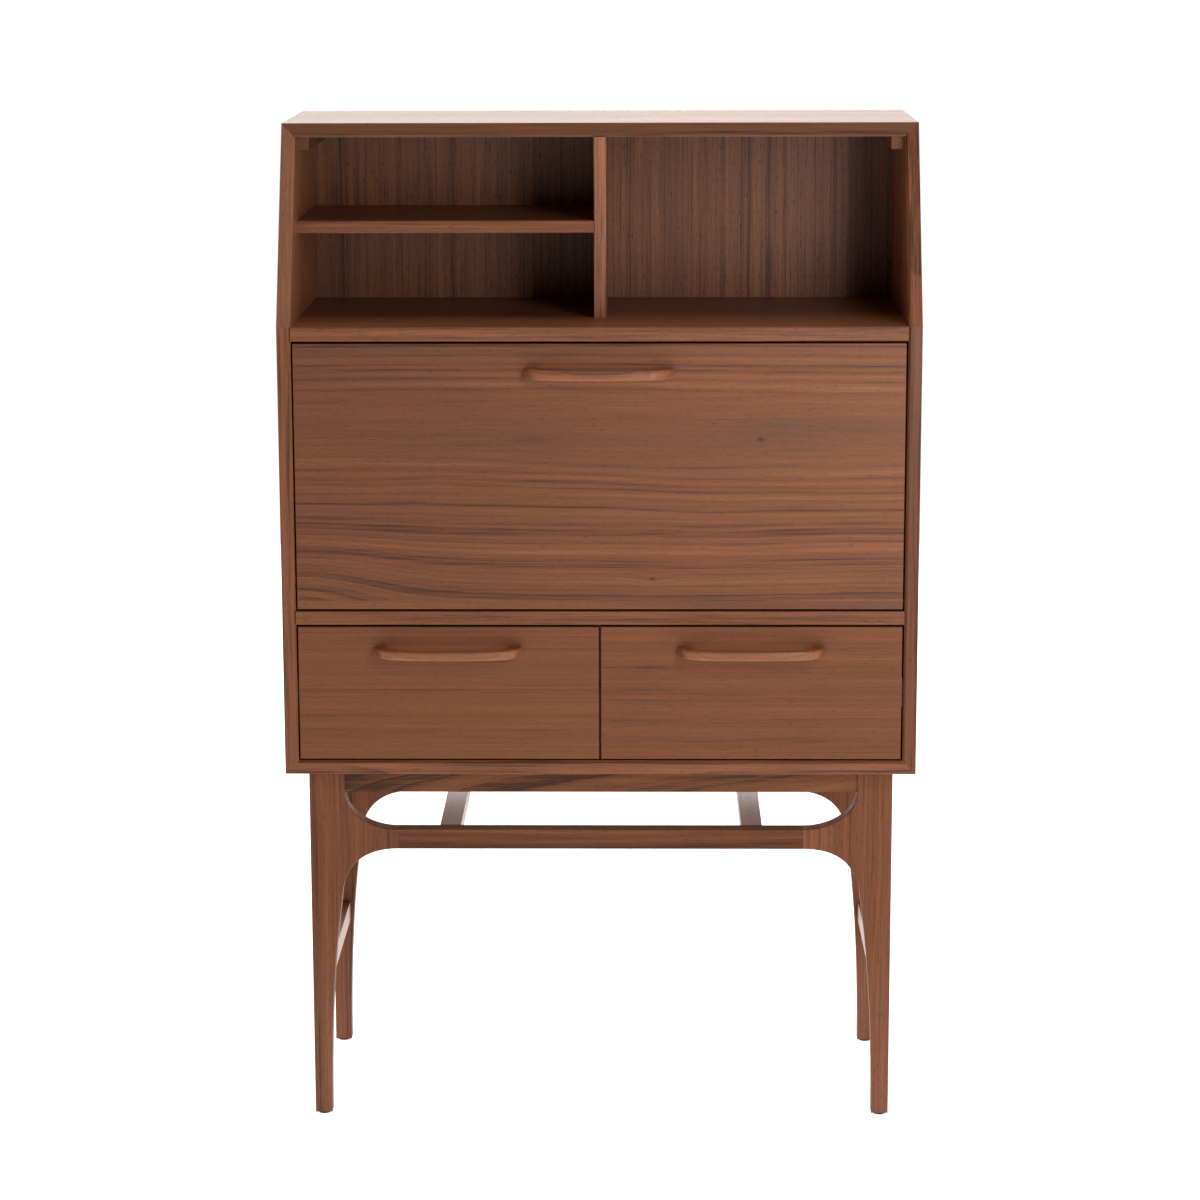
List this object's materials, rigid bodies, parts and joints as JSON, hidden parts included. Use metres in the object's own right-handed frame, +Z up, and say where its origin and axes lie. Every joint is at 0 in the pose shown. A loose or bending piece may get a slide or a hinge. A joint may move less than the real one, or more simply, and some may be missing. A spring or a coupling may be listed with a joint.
{
  "type": "secretary desk",
  "caption": "Walnut secretary desk with an open hutch, a drop-down writing flap on stays, drawers with bow handles and a stand of tapered legs.",
  "frame": {"origin": "on the floor, in the middle of the box that holds the closed desk, handles included", "axes": "+Z up, the flap and drawers face -Y, +X to the right as seen from the front"},
  "size_m": [0.88, 0.467, 1.409],
  "materials": {
    "solid_walnut": "satin oil",
    "walnut_veneer": "satin lacquer",
    "front_veneer": "satin lacquer, grain across",
    "back_veneer": "satin lacquer, grain upright",
    "back_board": "matt",
    "drawer_box_wood": "clear matt lacquer",
    "block_wood": "raw",
    "zinc_steel": "zinc plated",
    "screw_steel": "zinc plated",
    "nickel_steel": "nickel plated",
    "brass": "turned",
    "catch_plastic": "moulded",
    "glide_plastic": "moulded"
  },
  "bodies": {
    "cabinet": {"apron_front": "solid_walnut", "apron_rear": "solid_walnut", "bottom_lipping": "solid_walnut", "bottom_panel": "walnut_veneer", "cabinet_runners": "zinc_steel", "corner_blocks": "block_wood", "cross_rail_left": "solid_walnut", "cross_rail_right": "solid_walnut", "drawer_partition": "walnut_veneer", "floor_glides": "glide_plastic", "hutch_back": "back_veneer", "hutch_divider": "walnut_veneer", "hutch_floor": "walnut_veneer", "hutch_shelf": "walnut_veneer", "leg_front_left": "solid_walnut", "leg_front_right": "solid_walnut", "leg_rear_left": "solid_walnut", "leg_rear_right": "solid_walnut", "lower_back": "back_board", "magnetic_catch": "catch_plastic", "middle_board": "walnut_veneer", "pivot_bushes": "brass", "side_aprons": "solid_walnut", "side_lipping_lower_left": "solid_walnut", "side_lipping_lower_right": "solid_walnut", "side_lipping_upper_left": "solid_walnut", "side_lipping_upper_right": "solid_walnut", "side_panel_left": "walnut_veneer", "side_panel_right": "walnut_veneer", "side_stretcher_left": "solid_walnut", "side_stretcher_right": "solid_walnut", "stand_screws": "screw_steel", "stretcher_front": "solid_walnut", "stretcher_rear": "solid_walnut", "top_battens": "walnut_veneer", "top_lipping": "solid_walnut", "top_panel": "walnut_veneer", "writing_bed": "walnut_veneer"},
    "flap": {"flap_handle": "solid_walnut", "flap_lipping": "solid_walnut", "flap_panel": "front_veneer", "pivot_pins": "brass", "stay_brackets": "nickel_steel", "strike_plate": "nickel_steel"},
    "drawer_left": {"drawer_left_back": "drawer_box_wood", "drawer_left_bottom": "drawer_box_wood", "drawer_left_front": "front_veneer", "drawer_left_handle": "solid_walnut", "drawer_left_runners": "zinc_steel", "drawer_left_sides": "drawer_box_wood"},
    "drawer_right": {"drawer_right_back": "drawer_box_wood", "drawer_right_bottom": "drawer_box_wood", "drawer_right_front": "front_veneer", "drawer_right_handle": "solid_walnut", "drawer_right_runners": "zinc_steel", "drawer_right_sides": "drawer_box_wood"},
    "stay_rod_left": {"stay_rod_left": "nickel_steel"},
    "stay_rod_right": {"stay_rod_right": "nickel_steel"},
    "stay_guide_left": {"stay_guide_left": "nickel_steel"},
    "stay_guide_right": {"stay_guide_right": "nickel_steel"}
  },
  "joints": [
    {"name": "flap_hinge", "type": "hinge", "parent": "cabinet", "child": "flap", "pos_m": [0, -0.1845, 0.758], "axis": [1, 0, 0], "range_deg": [0, 90]},
    {"name": "drawer_left_slide", "type": "slide", "parent": "cabinet", "child": "drawer_left", "axis": [0, -1, 0], "range_m": [0, 0.25]},
    {"name": "drawer_right_slide", "type": "slide", "parent": "cabinet", "child": "drawer_right", "axis": [0, -1, 0], "range_m": [0, 0.25]},
    {"name": "stay_rod_left_turn", "type": "hinge", "parent": "flap", "child": "stay_rod_left", "pos_m": [-0.413, -0.1595, 0.95609], "axis": [1, 0, 0], "range_deg": [-45, 0]},
    {"name": "stay_guide_left_turn", "type": "hinge", "parent": "cabinet", "child": "stay_guide_left", "pos_m": [-0.413, -0.12548, 0.94874], "axis": [1, 0, 0], "range_deg": [0, 45]},
    {"name": "stay_rod_right_turn", "type": "hinge", "parent": "flap", "child": "stay_rod_right", "pos_m": [0.413, -0.1595, 0.95609], "axis": [1, 0, 0], "range_deg": [-45, 0]},
    {"name": "stay_guide_right_turn", "type": "hinge", "parent": "cabinet", "child": "stay_guide_right", "pos_m": [0.413, -0.12548, 0.94874], "axis": [1, 0, 0], "range_deg": [0, 45]}
  ],
  "couplings": [
    {"joint": "stay_rod_left_turn", "follows": "flap_hinge", "ratio": -0.5},
    {"joint": "stay_guide_left_turn", "follows": "flap_hinge", "ratio": 0.5},
    {"joint": "stay_rod_right_turn", "follows": "flap_hinge", "ratio": -0.5},
    {"joint": "stay_guide_right_turn", "follows": "flap_hinge", "ratio": 0.5}
  ]
}
